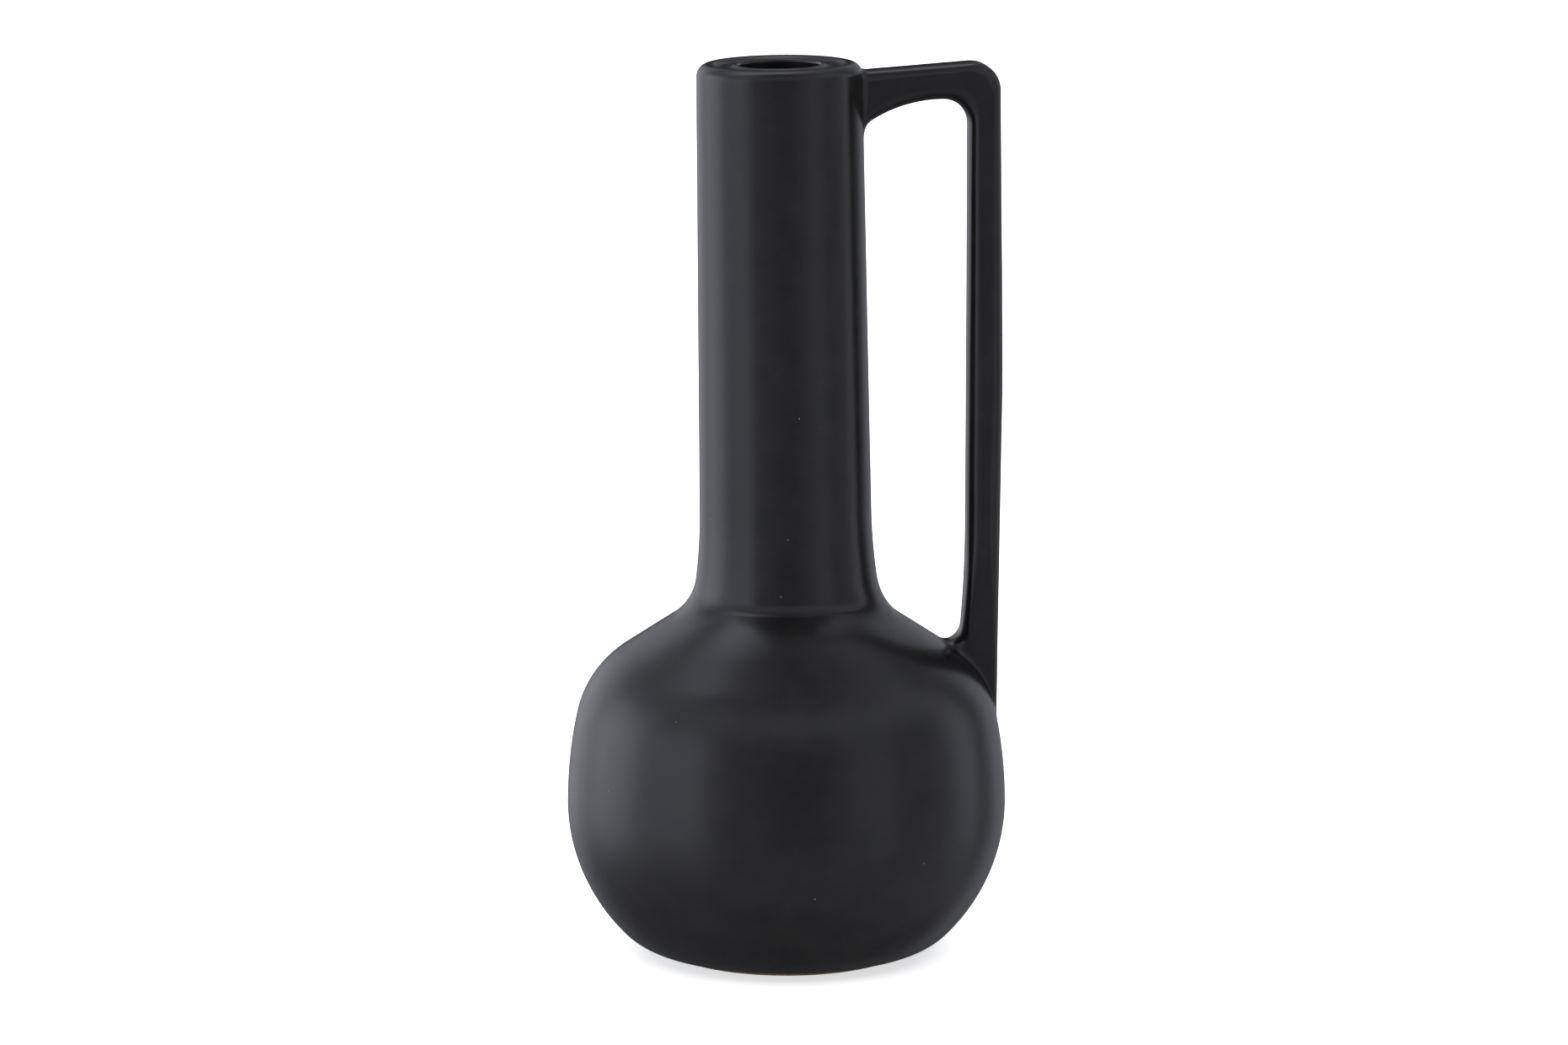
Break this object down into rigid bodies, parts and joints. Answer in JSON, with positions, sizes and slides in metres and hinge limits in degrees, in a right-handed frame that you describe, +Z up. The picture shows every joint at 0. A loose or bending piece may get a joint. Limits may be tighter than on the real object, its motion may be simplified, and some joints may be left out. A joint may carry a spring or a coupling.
{
  "type": "lekythos vase",
  "caption": "Ceramic bottle vessel with a squat round belly, tall straight neck, thick rolled lip, narrow mouth and a square-cornered handle from lip to shoulder.",
  "frame": {"origin": "centre of the foot on the surface that the vessel stands on", "axes": "+Z up, +X from the body's axis towards the handle, +Y away from the viewer who has the handle on the right"},
  "size_m": [0.1474, 0.1474, 0.3004],
  "materials": {
    "black_glaze": "satin",
    "bare_clay": "matte"
  },
  "bodies": {
    "root": {"foot_ring": "bare_clay", "belly_bowl": "black_glaze", "shoulder_dome": "black_glaze", "neck_slip_band": "black_glaze", "neck_tube": "black_glaze", "mouth_ring": "black_glaze", "handle": "black_glaze", "handle_top_slip": "black_glaze", "handle_foot_slip": "black_glaze"}
  },
  "joints": []
}
